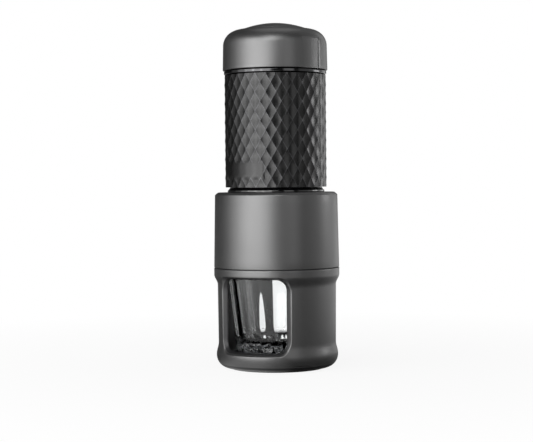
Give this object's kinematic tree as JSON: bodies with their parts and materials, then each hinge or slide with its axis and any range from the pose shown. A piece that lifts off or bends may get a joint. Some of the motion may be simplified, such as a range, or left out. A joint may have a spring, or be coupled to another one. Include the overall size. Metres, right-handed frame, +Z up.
{
  "type": "handheld espresso maker",
  "caption": "Slim upright hand-pumped coffee maker in three stacked cylinders: a windowed holder with a glass cup, a brewing unit, and a quilted tank grip under a turning pump cap.",
  "frame": {"origin": "centre of the foot, on the table", "axes": "+Z up along the axis of the maker; the two windows of the cup holder face -Y and +Y"},
  "size_m": [0.08, 0.08, 0.2194],
  "materials": {
    "satin_body": "dark grey satin paint",
    "gloss_black": "glossy black plastic",
    "grip": "moulded black plastic with a slight sheen",
    "dark_chrome": "polished dark chrome",
    "steel": "stainless steel",
    "spring_steel": "drawn wire",
    "nylon": "moulded black nylon",
    "silicone": "soft black silicone",
    "glass": "clear pressed glass"
  },
  "bodies": {
    "holder": {"cup_holder": "satin_body", "foot_ring": "silicone", "cup_cushion": "silicone"},
    "cup": {"glass_cup": "glass"},
    "brewer": {"brew_housing": "satin_body", "holder_seal": "silicone", "brew_chamber": "nylon", "outlet_funnel": "nylon", "spout_tip": "silicone", "funnel_screws": "steel", "basket_gasket": "silicone"},
    "basket": {"filter_basket": "steel"},
    "distributor": {"water_distributor": "nylon", "shower_screen": "steel"},
    "tank": {"pump_barrel": "gloss_black", "grip_sleeve": "grip", "trim_ring": "dark_chrome", "guide_ring": "silicone", "water_tank": "steel", "tank_gasket": "silicone", "pump_deck": "nylon", "deck_seal": "silicone", "deck_screws": "steel", "rod_bush": "silicone", "pump_cylinder": "steel", "cylinder_gasket": "silicone", "valve_block": "nylon", "nozzle_seal": "silicone", "ball_retainer": "steel", "outlet_valve": "silicone"},
    "ball": {"inlet_ball": "steel"},
    "plunger": {"plunger_rod": "steel", "plunger_seal": "silicone", "spring_seat": "steel", "return_spring": "spring_steel", "swivel_washer": "steel", "plunger_screw": "steel"},
    "cap": {"cap_skirt": "gloss_black", "cap_shell": "satin_body", "cap_crown": "satin_body"}
  },
  "joints": [
    {"name": "brewer_lift", "type": "slide", "parent": "holder", "child": "brewer", "axis": [0, 0, 1], "range_m": [0, 0.12]},
    {"name": "cup_lift", "type": "slide", "parent": "holder", "child": "cup", "axis": [0, 0, 1], "range_m": [0, 0.06]},
    {"name": "tank_lift", "type": "slide", "parent": "brewer", "child": "tank", "axis": [0, 0, 1], "range_m": [0, 0.11]},
    {"name": "distributor_lift", "type": "slide", "parent": "brewer", "child": "distributor", "axis": [0, 0, 1], "range_m": [0, 0.066]},
    {"name": "basket_lift", "type": "slide", "parent": "brewer", "child": "basket", "axis": [0, 0, 1], "range_m": [0, 0.0363]},
    {"name": "pump_stroke", "type": "slide", "parent": "tank", "child": "plunger", "axis": [0, 0, 1], "range_m": [0, 0.026], "deforming": ["return_spring"]},
    {"name": "cap_turn", "type": "hinge", "parent": "plunger", "child": "cap", "pos_m": [0, 0, 0.2], "axis": [0, 0, 1], "range_deg": [0, 45]},
    {"name": "inlet_ball_lift", "type": "slide", "parent": "tank", "child": "ball", "axis": [0, 0, 1], "range_m": [0, 0.001]}
  ],
  "couplings": [
    {"joint": "cup_lift", "follows": "brewer_lift", "ratio": 0.5},
    {"joint": "distributor_lift", "follows": "tank_lift", "ratio": 0.6},
    {"joint": "basket_lift", "follows": "tank_lift", "ratio": 0.33}
  ]
}
